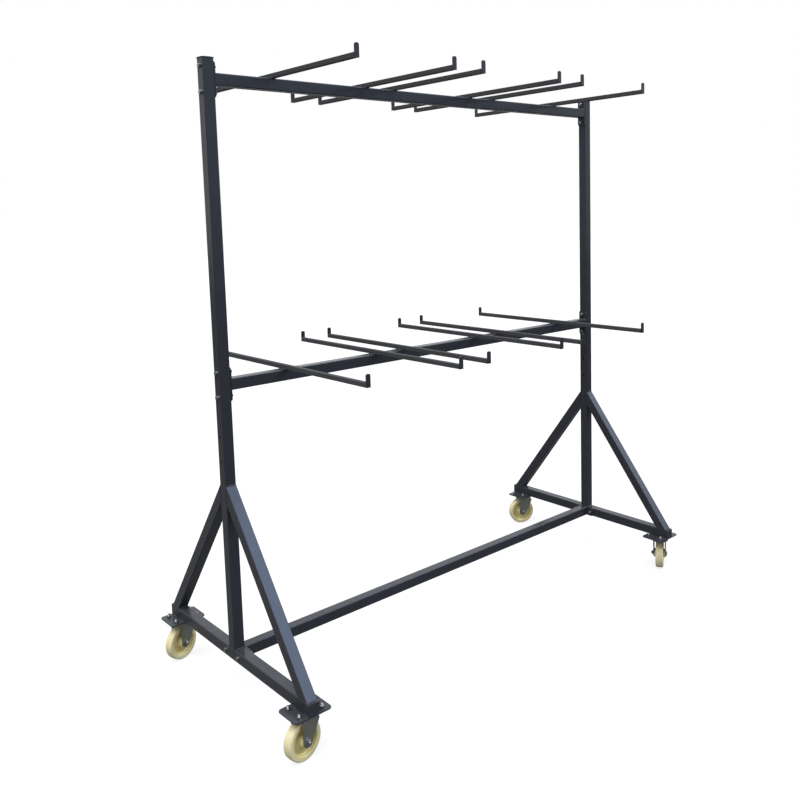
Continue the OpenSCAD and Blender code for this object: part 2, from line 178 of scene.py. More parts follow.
class Builder:
    """Adds nodes to one tree and links or fills their sockets."""

    def __init__(self, tree):
        self.tree = tree

    def put(self, socket, value):
        if isinstance(value, bpy.types.NodeSocket):
            self.tree.links.new(value, socket)
        else:
            socket.default_value = value

    def add(self, kind, settings=None, inputs=None):
        node = self.tree.nodes.new(kind)
        node.location = (NODE_SPACING * len(self.tree.nodes), 0)
        for name, value in (settings or {}).items():
            setattr(node, name, value)
        for name, value in (inputs or {}).items():
            self.put(node.inputs[name], value)
        return node

    def math(self, operation, first, second=0.0):
        node = self.add("ShaderNodeMath", {"operation": operation})
        self.put(node.inputs[0], first)
        self.put(node.inputs[1], second)
        return node.outputs[0]

    def spread(self, value, middle, swing):
        """Middle plus value times swing."""
        return self.math("ADD", self.math("MULTIPLY", value, swing), middle)

    def ramp(self, value, low, high, first=0.0, last=1.0):
        """Value eased from first at low to last at high."""
        node = self.add("ShaderNodeMapRange", {"interpolation_type": "SMOOTHSTEP"},
                        {"Value": value, "From Min": low, "From Max": high,
                         "To Min": first, "To Max": last})
        return node.outputs["Result"]

    def noise(self, vector, scale, detail, roughness):
        node = self.add("ShaderNodeTexNoise", None,
                        {"Vector": vector, "Scale": scale, "Detail": detail,
                         "Roughness": roughness})
        return node.outputs["Fac"]

    def mix(self, factor, first, second):
        """Colour between first and second."""
        node = self.add("ShaderNodeMix", {"data_type": "RGBA"})
        self.put(node.inputs[MIX_FACTOR], factor)
        self.put(node.inputs[MIX_FIRST], first)
        self.put(node.inputs[MIX_SECOND], second)
        return node.outputs[MIX_COLOUR]

    def object_point(self):
        return self.add("ShaderNodeTexCoord").outputs["Object"]


def rgba(colour):
    return (*colour, 1.0)


# Shared effects

def new_effect(name, inputs, outputs):
    """A shader node group with named sockets; inputs are (name, kind, value)."""
    tree = bpy.data.node_groups.new(name, "ShaderNodeTree")
    for socket_name, kind, value in inputs:
        socket = tree.interface.new_socket(socket_name, in_out="INPUT", socket_type=kind)
        socket.default_value = value
    for socket_name, kind in outputs:
        tree.interface.new_socket(socket_name, in_out="OUTPUT", socket_type=kind)
    build = Builder(tree)
    return build, build.add("NodeGroupInput").outputs, build.add("NodeGroupOutput").inputs


def make_mottle():
    """Lets a colour drift lighter and darker over hand-sized patches."""
    build, given, result = new_effect(
        "Mottle",
        [("Color", "NodeSocketColor", (0.5, 0.5, 0.5, 1.0)),
         ("Amount", "NodeSocketFloat", 0.1), ("Scale", "NodeSocketFloat", 8.0)],
        [("Color", "NodeSocketColor"), ("Patches", "NodeSocketFloat")])
    patches = build.noise(build.object_point(), given["Scale"], detail=4.0, roughness=0.6)
    swing = build.math("MULTIPLY", build.math("SUBTRACT", patches, 0.5), given["Amount"])
    scaled = build.add("ShaderNodeVectorMath", {"operation": "SCALE"},
                       {"Vector": given["Color"], "Scale": build.spread(swing, 1.0, 2.0)})
    build.put(result["Color"], scaled.outputs["Vector"])
    build.put(result["Patches"], patches)
    return build.tree


def make_edge_wear_and_highlight():
    """Marks sharp edges for wear and a painted highlight, broken up so that neither is even.
    """
    build, given, result = new_effect(
        "Edge wear and highlight",
        [("Radius", "NodeSocketFloat", 0.0015), ("Amount", "NodeSocketFloat", 0.5)],
        [("Mask", "NodeSocketFloat")])
    softened = build.add("ShaderNodeBevel", {"samples": 6}, {"Radius": given["Radius"]})
    surface = build.add("ShaderNodeNewGeometry")
    alike = build.add("ShaderNodeVectorMath", {"operation": "DOT_PRODUCT"})
    build.put(alike.inputs[0], softened.outputs["Normal"])
    build.put(alike.inputs[1], surface.outputs["Normal"])
    unlike = build.math("SUBTRACT", 1.0, alike.outputs["Value"])
    edge = build.ramp(unlike, low=0.02, high=0.22)
    cloud = build.noise(build.object_point(), scale=70.0, detail=5.0, roughness=0.65)
    patchy_edge = build.math("MULTIPLY", edge, build.ramp(cloud, low=0.42, high=0.62))
    build.put(result["Mask"], build.math("MULTIPLY", patchy_edge, given["Amount"]))
    return build.tree


def make_settled_dust():
    """Marks faces that look up, in soft uneven drifts."""
    build, given, result = new_effect(
        "Settled dust",
        [("Amount", "NodeSocketFloat", 0.2), ("Scale", "NodeSocketFloat", 14.0)],
        [("Mask", "NodeSocketFloat")])
    surface = build.add("ShaderNodeNewGeometry")
    split = build.add("ShaderNodeSeparateXYZ", None, {"Vector": surface.outputs["Normal"]})
    upward = build.ramp(split.outputs["Z"], low=0.3, high=0.95)
    cloud = build.noise(build.object_point(), given["Scale"], detail=6.0, roughness=0.62)
    drifts = build.math("MULTIPLY", upward, build.ramp(cloud, low=0.3, high=0.75))
    build.put(result["Mask"], build.math("MULTIPLY", drifts, given["Amount"]))
    return build.tree


def make_orange_peel():
    """The fine lumpy skin of sprayed powder, as a height."""
    build, given, result = new_effect(
        "Orange peel", [("Scale", "NodeSocketFloat", 420.0)], [("Height", "NodeSocketFloat")])
    point = build.object_point()
    lumps = build.noise(point, given["Scale"], detail=1.5, roughness=0.5)
    finer = build.math("MULTIPLY", given["Scale"], 4.0)
    grit = build.math("MULTIPLY", build.noise(point, finer, detail=1.0, roughness=0.5), 0.25)
    build.put(result["Height"], build.math("ADD", lumps, grit))
    return build.tree


def make_fine_scratches():
    """Thin crossed hairlines, as a mask."""
    build, given, result = new_effect(
        "Fine scratches", [("Amount", "NodeSocketFloat", 0.3)], [("Mask", "NodeSocketFloat")])
    total = None
    for turn, stretch in ((0.35, (9.0, 260.0, 120.0)), (-0.6, (240.0, 12.0, 90.0))):
        mapping = build.add("ShaderNodeMapping", None,
                            {"Vector": build.object_point(), "Rotation": (turn, turn, turn),
                             "Scale": stretch})
        cloud = build.noise(mapping.outputs["Vector"], scale=1.0, detail=3.0, roughness=0.7)
        lines = build.ramp(cloud, low=0.66, high=0.74)
        total = lines if total is None else build.math("MAXIMUM", total, lines)
    build.put(result["Mask"], build.math("MULTIPLY", total, given["Amount"]))
    return build.tree


MOTTLE = make_mottle()
EDGE_WEAR_AND_HIGHLIGHT = make_edge_wear_and_highlight()
SETTLED_DUST = make_settled_dust()
ORANGE_PEEL = make_orange_peel()
FINE_SCRATCHES = make_fine_scratches()


# Materials

def new_material(name):
    material = bpy.data.materials.new(name)
    material.use_nodes = True
    build = Builder(material.node_tree)
    return material, build, material.node_tree.nodes["Principled BSDF"]


def effect(build, group, inputs=None):
    return build.add("ShaderNodeGroup", {"node_tree": group}, inputs).outputs


def bump(build, shader, height, strength, distance):
    node = build.add("ShaderNodeBump", None,
                     {"Height": height, "Strength": strength, "Distance": distance})
    build.put(shader.inputs["Normal"], node.outputs["Normal"])


def paint_material(name, colour, gloss, roughness):
    """Slate powder coat: faintly lumpy, lighter at its edges as wear and a painted highlight,
    and dusty on top.
    """
    material, build, shader = new_material(name)
    tone = effect(build, MOTTLE, {"Color": rgba(colour), "Amount": 0.12, "Scale": 7.0})
    # Lighter edges: partly wear, partly a painted highlight
    worn_highlit_edges = effect(build, EDGE_WEAR_AND_HIGHLIGHT, {"Radius": 0.0012, "Amount": 0.35})["Mask"]
    dust = effect(build, SETTLED_DUST, {"Amount": 0.05, "Scale": 16.0})["Mask"]
    marks = effect(build, FINE_SCRATCHES, {"Amount": 0.22})["Mask"]
    worn_and_highlit = build.math("MAXIMUM", worn_highlit_edges, build.math("MULTIPLY", marks, SCRATCHES_SHOW))
    worn_and_highlit_tone = build.mix(worn_and_highlit, tone["Color"], rgba(WORN_AND_HIGHLIGHT_PAINT))
    build.put(shader.inputs["Base Color"], build.mix(dust, worn_and_highlit_tone, rgba(DUST)))
    rough = build.spread(tone["Patches"], roughness, swing=0.12)
    rough = build.math("ADD", rough, build.math("MULTIPLY", dust, 0.8))
    rough = build.math("ADD", rough, build.math("MULTIPLY", marks, 0.2))
    build.put(shader.inputs["Roughness"], rough)
    shader.inputs["Specular IOR Level"].default_value = gloss
    shader.inputs["Specular Tint"].default_value = rgba(PAINT_SHEEN)
    peel = effect(build, ORANGE_PEEL, {"Scale": 420.0})["Height"]
    bump(build, shader, peel, strength=0.22, distance=0.0004)
    return material


def zinc_material(name, colour, roughness, warmth, scratches):
    """Plated steel: drifting blue and yellow passivation, hairlines, brighter edges that are
    partly wear and partly a painted highlight.
    """
    material, build, shader = new_material(name)
    tone = effect(build, MOTTLE, {"Color": rgba(colour), "Amount": 0.16, "Scale": 55.0})
    yellowed = tuple(level * tint for level, tint in zip(colour, PASSIVATION_TINT))
    tinted = build.mix(build.math("MULTIPLY", tone["Patches"], warmth), tone["Color"],
                       rgba(yellowed))
    # Brighter edges: partly wear, partly a painted highlight
    worn_highlit_edges = effect(build, EDGE_WEAR_AND_HIGHLIGHT, {"Radius": 0.0006, "Amount": 0.5})["Mask"]
    marks = effect(build, FINE_SCRATCHES, {"Amount": scratches})["Mask"]
    bright = tuple(min(1.0, level * ZINC_EDGE_GAIN) for level in colour)
    build.put(shader.inputs["Base Color"], build.mix(worn_highlit_edges, tinted, rgba(bright)))
    rough = build.spread(tone["Patches"], roughness, swing=0.25)
    build.put(shader.inputs["Roughness"], build.math("ADD", rough, marks))
    shader.inputs["Metallic"].default_value = 1.0
    grain = effect(build, ORANGE_PEEL, {"Scale": 700.0})["Height"]
    bump(build, shader, grain, strength=0.18, distance=0.0002)
    return material


def plastic_material():
    """Moulded black plastic with a fine spark-eroded grain."""
    material, build, shader = new_material("black_moulded_plastic")
    tone = effect(build, MOTTLE, {"Color": rgba(BLACK_PLASTIC), "Amount": 0.2, "Scale": 30.0})
    dust = effect(build, SETTLED_DUST, {"Amount": 0.06, "Scale": 40.0})["Mask"]
    build.put(shader.inputs["Base Color"], build.mix(dust, tone["Color"], rgba(DUST)))
    rough = build.spread(tone["Patches"], PLASTIC_ROUGHNESS, swing=0.2)
    build.put(shader.inputs["Roughness"], rough)
    grain = effect(build, ORANGE_PEEL, {"Scale": 1400.0})["Height"]
    bump(build, shader, grain, strength=0.3, distance=0.0002)
    return material


def nylon_material(name, centre, turn):
    """Natural nylon: amber in the thin web, cream on rim and hub, scuffed on the tread."""
    material, build, shader = new_material(name)
    local = build.add("ShaderNodeMapping", {"vector_type": "TEXTURE"},
                      {"Vector": build.object_point(), "Location": centre,
                       "Rotation": (0, 0, turn)})
    split = build.add("ShaderNodeSeparateXYZ", None, {"Vector": local.outputs["Vector"]})
    flat = build.add("ShaderNodeCombineXYZ", None,
                     {"X": split.outputs["X"], "Z": split.outputs["Z"]})
    length = build.add("ShaderNodeVectorMath", {"operation": "LENGTH"},
                       {"Vector": flat.outputs["Vector"]})
    radius = length.outputs["Value"]
    tone = effect(build, MOTTLE, {"Color": rgba(CREAM_NYLON), "Amount": 0.06, "Scale": 45.0})
    web = build.math("MULTIPLY", build.ramp(radius, *WEB_FADES_IN),
                     build.ramp(radius, *WEB_FADES_OUT))
    amber = build.mix(build.math("MULTIPLY", web, AMBER_SHARE), tone["Color"],
                      rgba(AMBER_NYLON))
    cloud = build.noise(build.object_point(), scale=26.0, detail=5.0, roughness=0.6)
    scuff = build.ramp(cloud, low=0.40, high=0.75)
    tread = build.math("MULTIPLY", build.ramp(radius, *TREAD_FADES_IN), scuff)
    build.put(shader.inputs["Base Color"],
              build.mix(build.math("MULTIPLY", tread, TREAD_GREYING), amber, rgba(DUST)))
    build.put(shader.inputs["Roughness"], build.spread(tread, NYLON_ROUGHNESS, swing=0.25))
    shader.inputs["Subsurface Weight"].default_value = 0.35
    shader.inputs["Subsurface Radius"].default_value = (1.0, 0.75, 0.35)
    shader.inputs["Subsurface Scale"].default_value = 0.006
    grain = effect(build, ORANGE_PEEL, {"Scale": 300.0})["Height"]
    bump(build, shader, grain, strength=0.15, distance=0.0004)
    return material


def seen_rays(build, gloss_share):
    """One for rays from the camera or through glass, a share for rays off gloss, else 0."""
    path = build.add("ShaderNodeLightPath").outputs
    direct = build.math("MAXIMUM", path["Is Camera Ray"], path["Is Transmission Ray"])
    mirrored = build.math("MULTIPLY", path["Is Glossy Ray"], gloss_share)
    return build.math("MAXIMUM", direct, mirrored)


def floor_material():
    """A floor that shows white and takes soft shadows; in reflections it darkens far off."""
    material, build, shader = new_material("pale_floor")
    shader.inputs["Roughness"].default_value = 1.0
    shader.inputs["Specular IOR Level"].default_value = 0.0
    shader.inputs["Emission Color"].default_value = WHITE
    away = build.add("ShaderNodeVectorMath", {"operation": "LENGTH"},
                     {"Vector": build.object_point()})
    near = build.ramp(away.outputs["Value"], FLOOR_REACH, 2 * FLOOR_REACH,
                      first=FLOOR_IN_GLOSS, last=0.0)
    build.put(shader.inputs["Emission Strength"],
              build.math("MULTIPLY", seen_rays(build, near), FLOOR_GLOW))
    reflected = build.add("ShaderNodeLightPath").outputs["Is Glossy Ray"]
    grey, dark = (rgba((level,) * 3) for level in (FLOOR_GREY, DARK_FLOOR_IN_GLOSS))
    build.put(shader.inputs["Base Color"], build.mix(reflected, grey, dark))
    return material


# Camera, light and floor

def make_camera():
    """Stands where the photograph was taken from, with its lens and off-centre crop."""
    data = bpy.data.cameras.new("camera")
    data.sensor_width = SENSOR_WIDTH
    data.lens = SENSOR_WIDTH * FOCAL_PIXELS / IMAGE_SIDE
    data.shift_x = 0.5 - OPTICAL_CENTRE_PIXEL[0] / IMAGE_SIDE
    data.shift_y = OPTICAL_CENTRE_PIXEL[1] / IMAGE_SIDE - 0.5
    heading, pitch, roll = map(math.radians, (CAMERA_HEADING, CAMERA_PITCH, CAMERA_ROLL))
    ahead = Vector((math.sin(heading) * math.cos(pitch),
                    math.cos(heading) * math.cos(pitch), math.sin(pitch)))
    level = ahead.cross(Vector((0, 0, 1))).normalized()
    upward = level.cross(ahead)
    right = level * math.cos(roll) + upward * math.sin(roll)
    up = upward * math.cos(roll) - level * math.sin(roll)
    camera = bpy.data.objects.new("camera", data)
    turned = Matrix((right, up, -ahead)).transposed().to_4x4()
    camera.matrix_world = Matrix.Translation(CAMERA_PLACE) @ turned
    bpy.context.scene.collection.objects.link(camera)
    bpy.context.scene.camera = camera


def make_soft_light(name, heading, strength, spread, colour):
    """A wide lamp far away; its heading points from the cart to the lamp."""
    data = bpy.data.lights.new(name, "SUN")
    data.energy = strength
    data.angle = math.radians(spread)
    data.color = colour
    light = bpy.data.objects.new(name, data)
    light.rotation_euler = Vector(heading).to_track_quat("Z", "Y").to_euler()
    bpy.context.scene.collection.objects.link(light)


def make_world():
    """Grey light all round, stronger from the left, and white where the camera looks."""
    world = bpy.data.worlds.new("studio")
    world.use_nodes = True
    bpy.context.scene.world = world
    build = Builder(world.node_tree)
    background = world.node_tree.nodes["Background"]
    view = build.add("ShaderNodeTexCoord").outputs["Generated"]
    rightward = build.add("ShaderNodeSeparateXYZ", None, {"Vector": view}).outputs["X"]
    leftness = build.ramp(rightward, LEFT_WALL_FULL, LEFT_WALL_GONE, first=1.0, last=0.0)
    light = build.mix(leftness, rgba(ROOM_GREY), rgba(LEFT_WALL_GREY))
    gloss = build.ramp(rightward, LEFT_WALL_FULL, LEFT_WALL_GONE, first=LEFT_WALL_IN_GLOSS)
    build.put(background.inputs["Color"], build.mix(seen_rays(build, gloss), light, WHITE))


def make_floor():
    half = FLOOR_HALF_SIDE
    mesh = bpy.data.meshes.new("floor")
    mesh.from_pydata([(-half, -half, 0), (half, -half, 0), (half, half, 0), (-half, half, 0)],
                     [], [(0, 1, 2, 3)])
    mesh.materials.append(floor_material())
    floor = bpy.data.objects.new("floor", mesh)
    bpy.context.scene.collection.objects.link(floor)


make_camera()
make_world()
make_soft_light("overhead", OVERHEAD_HEADING, OVERHEAD_STRENGTH, OVERHEAD_SPREAD,
                OVERHEAD_COLOUR)
make_soft_light("front", FRONT_HEADING, FRONT_STRENGTH, FRONT_SPREAD, FRONT_COLOUR)
make_floor()
bpy.context.scene.view_settings.view_transform = "Standard"


# Reading the frame

def solid_boxes(node):
    """Lowest and highest corner of each separate solid in a CAD node."""
    mesh = bmesh.new()
    mesh.from_mesh(frame["nodes"][node].data)
    bmesh.ops.remove_doubles(mesh, verts=mesh.verts, dist=MERGE_DISTANCE)
    mesh.verts.ensure_lookup_table()
    seen, boxes = set(), []
    for start in mesh.verts:
        if start.index in seen:
            continue
        seen.add(start.index)
        queue, corners = [start], []
        while queue:
            vertex = queue.pop()
            corners.append(vertex.co.copy())
            for edge in vertex.link_edges:
                other = edge.other_vert(vertex)
                if other.index not in seen:
                    seen.add(other.index)
                    queue.append(other)
        boxes.append((Vector(map(min, zip(*corners))), Vector(map(max, zip(*corners)))))
    mesh.free()
    return boxes


JOINTS = {joint["name"]: joint for joint in frame["joints"]}
wheel_low, wheel_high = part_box("rear_right_wheel")
WHEEL_RADIUS = (wheel_high.z - wheel_low.z) / 2
# Distances from the wheel's axis between which each shade comes in or goes out
WEB_FADES_IN = (0.018, 0.023)
WEB_FADES_OUT = (WHEEL_RADIUS - 0.008, WHEEL_RADIUS - 0.020)
TREAD_FADES_IN = (WHEEL_RADIUS - 0.004, WHEEL_RADIUS - 0.001)


def set_material(piece, material):
    piece.data.materials.clear()
    piece.data.materials.append(material)


def dress_nodes():
    """Gives every CAD node its finish."""
    finish = {
        "frame_paint": paint_material("slate_powder_coat", SLATE_PAINT, PAINT_GLOSS,
                                      PAINT_ROUGHNESS),
        "bright_zinc": zinc_material("bright_zinc_plate", BRIGHT_ZINC, roughness=0.22,
                                     warmth=0.35, scratches=0.10),
        "caster_zinc": zinc_material("dull_zinc_plate", CASTER_ZINC, roughness=0.34,
                                     warmth=0.5, scratches=0.16),
        "black_plastic": plastic_material(),
    }
    # The arms get a lighter, almost glossless copy of the slate paint: painted shading for how
    # light falls on them
    arm_shading_copy = paint_material("arm_powder_coat_painted_shading", ARM_PAINTED_SHADING, ARM_GLOSS, ARM_ROUGHNESS)
    for part in frame["record"]["subparts"]:
        node, slot = part["node"], part["material_slot"]
        if "_arm_" in node and not node.endswith("_stops"):
            set_material(frame["nodes"][node], arm_shading_copy)
        elif slot in finish:
            set_material(frame["nodes"][node], finish[slot])
    for corner in CORNERS:
        axle = JOINTS[corner + "_spin"]
        # The pattern's Y runs along the axle, however its caster stands
        turn = math.atan2(-axle["axis"][0], axle["axis"][1])
        nylon = nylon_material(corner + "_nylon", axle["pos_m"], turn)
        set_material(frame["nodes"][corner + "_wheel"], nylon)
    return finish


FINISH = dress_nodes()


# Pieces that a node tree grows

def new_piece_tree(name, inputs):
    """A geometry node tree with named inputs, given as (name, kind, value)."""
    tree = bpy.data.node_groups.new(name, "GeometryNodeTree")
    tree.interface.new_socket("Geometry", in_out="INPUT", socket_type="NodeSocketGeometry")
    tree.interface.new_socket("Geometry", in_out="OUTPUT", socket_type="NodeSocketGeometry")
    for socket_name, kind, value in inputs:
        socket = tree.interface.new_socket(socket_name, in_out="INPUT", socket_type=kind)
        if value is not None:
            socket.default_value = value
    build = Builder(tree)
    return build, build.add("NodeGroupInput").outputs, build.add("NodeGroupOutput").inputs


def finish_piece(build, geometry, finish, result):
    """Turns copies into real mesh and gives it its finish, at the end of a tree."""
    real = build.add("GeometryNodeRealizeInstances", None, {"Geometry": geometry})
    done = build.add("GeometryNodeSetMaterial", None,
                     {"Geometry": real.outputs["Geometry"], "Material": finish})
    build.put(result["Geometry"], done.outputs["Geometry"])


def grow(name, seed, tree, values, body="root"):
    """Runs a tree on a seed mesh and keeps the result as a plain piece on one body."""
    piece = bpy.data.objects.new(name, seed)
    bpy.context.scene.collection.objects.link(piece)
    modifier = piece.modifiers.new("shape", "NODES")
    modifier.node_group = tree
    for item in tree.interface.items_tree:
        if item.in_out == "INPUT" and item.name in values:
            modifier[item.identifier] = values[item.name]
    graph = bpy.context.evaluated_depsgraph_get()
    grown = bpy.data.meshes.new_from_object(piece.evaluated_get(graph), depsgraph=graph)
    piece.modifiers.remove(modifier)
    piece.data = grown
    grown.name = name
    bpy.data.meshes.remove(seed)
    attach(piece, body)
    return piece


# Weld beads

def make_weld_tree():
    """Runs a rippled bead along every loose edge; each point carries its bead radius."""
    build, given, result = new_piece_tree("Weld bead", [
        ("Ripple Pitch", "NodeSocketFloat", RIPPLE_PITCH),
        ("Ripple Depth", "NodeSocketFloat", RIPPLE_DEPTH),
        ("Step", "NodeSocketFloat", RIPPLE_STEP), ("Run Out", "NodeSocketFloat", 0.003),
        ("Wander", "NodeSocketFloat", 0.0005), ("Finish", "NodeSocketMaterial", None)])
    path = build.add("GeometryNodeMeshToCurve", None,
                     {"Mesh": given["Geometry"]}).outputs["Curve"]
    path = build.add("GeometryNodeResampleCurve", {"mode": "LENGTH"},
                     {"Curve": path, "Length": given["Step"]}).outputs["Curve"]
    place = build.add("GeometryNodeInputPosition").outputs["Position"]
    cloud = build.add("ShaderNodeTexNoise", None,
                      {"Vector": place, "Scale": 190.0, "Detail": 1.0})
    centred = build.add("ShaderNodeVectorMath", {"operation": "SUBTRACT"})
    build.put(centred.inputs[0], cloud.outputs["Color"])
    build.put(centred.inputs[1], (0.5, 0.5, 0.5))
    drift = build.add("ShaderNodeVectorMath", {"operation": "SCALE"},
                      {"Vector": centred.outputs["Vector"], "Scale": given["Wander"]})
    path = build.add("GeometryNodeSetPosition", None,
                     {"Geometry": path, "Offset": drift.outputs["Vector"]}).outputs["Geometry"]
    along = build.add("GeometryNodeSplineParameter").outputs["Length"]
    whole = build.add("GeometryNodeSplineLength").outputs["Length"]
    turns = build.math("DIVIDE", along, given["Ripple Pitch"])
    wave = build.math("SINE", build.math("MULTIPLY", turns, 2 * math.pi))
    ripple = build.spread(wave, 1.0, given["Ripple Depth"])
    to_end = build.math("MINIMUM", along, build.math("SUBTRACT", whole, along))
    taper = build.ramp(build.math("DIVIDE", to_end, given["Run Out"]), 0.0, 1.0, first=0.4)
    radius = build.add("GeometryNodeInputNamedAttribute", {"data_type": "FLOAT"},
                       {"Name": "bead_radius"})
    thickness = build.math("MULTIPLY", radius.outputs["Attribute"],
                           build.math("MULTIPLY", ripple, taper))
    profile = build.add("GeometryNodeCurvePrimitiveCircle", {"mode": "RADIUS"},
                        {"Resolution": 8, "Radius": 1.0})
    bead = build.add("GeometryNodeCurveToMesh", None,
                     {"Curve": path, "Profile Curve": profile.outputs["Curve"],
                      "Scale": thickness, "Fill Caps": True}).outputs["Mesh"]
    finish_piece(build, bead, given["Finish"], result)
    return build.tree


class WeldLines:
    """Collects the lines that beads follow, as (start, end, radius)."""

    def __init__(self):
        self.lines = []

    def add(self, start, end, radius):
        self.lines.append((Vector(start), Vector(end), radius))

    def across(self, middle, axis, half, radius):
        """A line through middle that reaches half a length each way along an axis."""
        reach = Vector([half if name == axis else 0.0 for name in "xyz"])
        self.add(Vector(middle) - reach, Vector(middle) + reach, radius)

    def mesh(self):
        """The lines as loose edges, with each one's bead radius on its two points."""
        seed = bpy.data.meshes.new("weld_lines")
        points = [tuple(p) for start, end, _ in self.lines for p in (start, end)]
        seed.from_pydata(points, [(2 * i, 2 * i + 1) for i in range(len(self.lines))], [])
        radii = seed.attributes.new("bead_radius", "FLOAT", "POINT")
        radii.data.foreach_set("value", [line[2] for line in self.lines for _ in range(2)])
        return seed


def weld_arms(lines):
    """Each arm is welded to its rail along both sides, and its stops across top and sides."""
    for tier in TIERS:
        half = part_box(tier + "_rail")[1].y - ARM_BEAD_INSET
        for number in range(1, ARMS_PER_TIER + 1):
            low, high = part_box("%s_arm_%d" % (tier, number))
            middle = (low + high) / 2
            for x in (low.x + ARM_BEAD_SINK, high.x - ARM_BEAD_SINK):
                lines.across((x, 0.0, low.z + ARM_BEAD_LIFT), "y", half, BEAD_RADIUS)
            for y in (low.y, high.y):
                lines.across((middle.x, y, high.z), "x", STOP_BEAD_HALF, SMALL_BEAD_RADIUS)
                for x in (low.x, high.x):
                    lines.across((x, y, middle.z), "z", STOP_BEAD_HALF, FLUSH_BEAD_RADIUS)


def weld_end_plates(lines):
    """Beads above and below the upper rails' ends, before and behind the lower one's.

    The other two sides of each end get a flush seam.
    """
    for rail in ("top_rail", "mid_rail", "lower_rail"):
        low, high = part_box(rail)
        middle, half = (low + high) / 2, (high.y - low.y) / 2 - CORNER_INSET
        for x in (low.x, high.x):
            for side in (-1, 1):
                level = (x, middle.y, middle.z + side * (high.z - middle.z))
                upright = (x, middle.y + side * (high.y - middle.y), middle.z)
                main, seam = (upright, level) if rail == "lower_rail" else (level, upright)
                main_axis, seam_axis = ("z", "y") if rail == "lower_rail" else ("y", "z")
                lines.across(main, main_axis, half, BEAD_RADIUS)
                lines.across(seam, seam_axis, half, FLUSH_BEAD_RADIUS)


def weld_end_frames(lines):
    """Beads where posts and braces stand on the foot tubes and braces meet the posts."""
    for side in ("left", "right"):
        post_low, post_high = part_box(side + "_post")
        foot_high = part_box(side + "_foot_tube")[1]
        centre, half = (post_low + post_high) / 2, (post_high.x - post_low.x) / 2
        short = half - CORNER_INSET
        for way in (-1, 1):
            lines.across((centre.x, way * half, foot_high.z), "x", short, BEAD_RADIUS)
            lines.across((centre.x + way * half, 0.0, foot_high.z), "y", short,
                         FLUSH_BEAD_RADIUS)
        for end, way in (("front", -1), ("rear", 1)):
            low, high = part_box("%s_%s_brace" % (side, end))
            run, rise = high.y - low.y, high.z - low.z
            slope = math.hypot(run, rise)
            thick = 2 * half
            near, far = (way * pick(abs(low.y), abs(high.y)) for pick in (min, max))
            under = high.z - thick * slope / run
            inner = far - way * thick * slope / rise
            ends = ((near, high.z), (near, under), (far, foot_high.z), (inner, foot_high.z))
            for y, z in ends:
                lines.across((centre.x, y, z), "x", short, BEAD_RADIUS)
            for face in (-1, 1):
                x = centre.x + face * half
                lines.add((x, near, under + CORNER_INSET), (x, near, high.z - CORNER_INSET),
                          FLUSH_BEAD_RADIUS)
                lines.add((x, inner, foot_high.z), (x, far - way * CORNER_INSET, foot_high.z),
                          FLUSH_BEAD_RADIUS)


def weld_mount_plates(lines):
    """Two short stitches on each side of the foot tube hold each painted plate."""
    post_low, post_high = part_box("left_post")
    half, stitch = (post_high.x - post_low.x) / 2, STITCH_LENGTH / 2
    for low, high in solid_boxes("mount_plates"):
        middle = (low + high) / 2
        from_middle = (high.y - low.y) / 2 - STITCH_INSET - stitch
        for face in (-1, 1):
            for way in (-1, 1):
                centre = (middle.x + face * half, middle.y + way * from_middle, high.z)
                lines.across(centre, "y", stitch, BEAD_RADIUS)


def make_welds():
    """All beads as one piece on the frame."""
    lines = WeldLines()
    weld_arms(lines)
    weld_end_plates(lines)
    weld_end_frames(lines)
    weld_mount_plates(lines)
    grow("frame_welds", lines.mesh(), make_weld_tree(), {"Finish": FINISH["frame_paint"]})


make_welds()


# Fasteners

def ring(radius_at, height_at):
    """A ring of points round local Z; radius and height follow the angle."""
    angles = [2 * math.pi * step / ROUND_STEPS for step in range(ROUND_STEPS)]
    return [Vector((radius_at(a) * math.cos(a), radius_at(a) * math.sin(a), height_at(a)))
            for a in angles]


def plain_ring(radius, height):
    return ring(lambda a: radius, lambda a: height)


def hex_rings(across_flats, height, chamfer_foot):
    """Rings of a hexagon whose corners are turned down to a cone, from its foot to its top."""
    flat = across_flats / 2
    turned = TURNED_SHARE * flat

    def reach(a):
        return flat / math.cos((a + math.pi / 6) % (math.pi / 3) - math.pi / 6)

    def drop(a):
        return (reach(a) - turned) * math.tan(math.radians(CHAMFER))

    if chamfer_foot:
        rings = [plain_ring(turned, 0.0), ring(reach, drop)]
    else:
        rings = [ring(reach, lambda a: 0.0)]
    return rings + [ring(reach, lambda a: height - drop(a)), plain_ring(turned, height)]


def thread_rings(diameter, pitch, start, end):
    """Rings of a threaded end that runs along local Z and finishes in a small cone."""
    radius, depth = diameter / 2, THREAD_DEPTH_SHARE * pitch
    count = max(2, round((end - start) / pitch * RINGS_PER_TURN))
    rings = []
    for step in range(count + 1):
        height = start + (end - start) * step / count
        cone = min(1.0, (end - height) / depth) * depth

        def reach(a, height=height, cone=cone):
            phase = (height / pitch + a / (2 * math.pi)) % 1.0
            return min(radius - depth * abs(2 * phase - 1), radius - depth + cone)

        rings.append(ring(reach, lambda a, height=height: height))
    return rings


def solid_from_rings(name, rings, hollow):
    """A closed mesh through the rings: back to the first if hollow, else with flat ends."""
    mesh = bmesh.new()
    loops = [[mesh.verts.new(point) for point in points] for points in rings]
    pairs = list(zip(loops, loops[1:])) + ([(loops[-1], loops[0])] if hollow else [])
    for first, second in pairs:
        for step in range(ROUND_STEPS):
            after = (step + 1) % ROUND_STEPS
            mesh.faces.new((first[step], first[after], second[after], second[step]))
    if not hollow:
        mesh.faces.new(list(reversed(loops[0])))
        mesh.faces.new(loops[-1])
    bmesh.ops.recalc_face_normals(mesh, faces=mesh.faces)
    for face in mesh.faces:
        face.smooth = True
    for edge in mesh.edges:
        edge.smooth = edge.calc_face_angle(0.0) < math.radians(SMOOTH_BELOW)
    data = bpy.data.meshes.new(name)
    mesh.to_mesh(data)
    mesh.free()
    return bpy.data.objects.new(name, data)


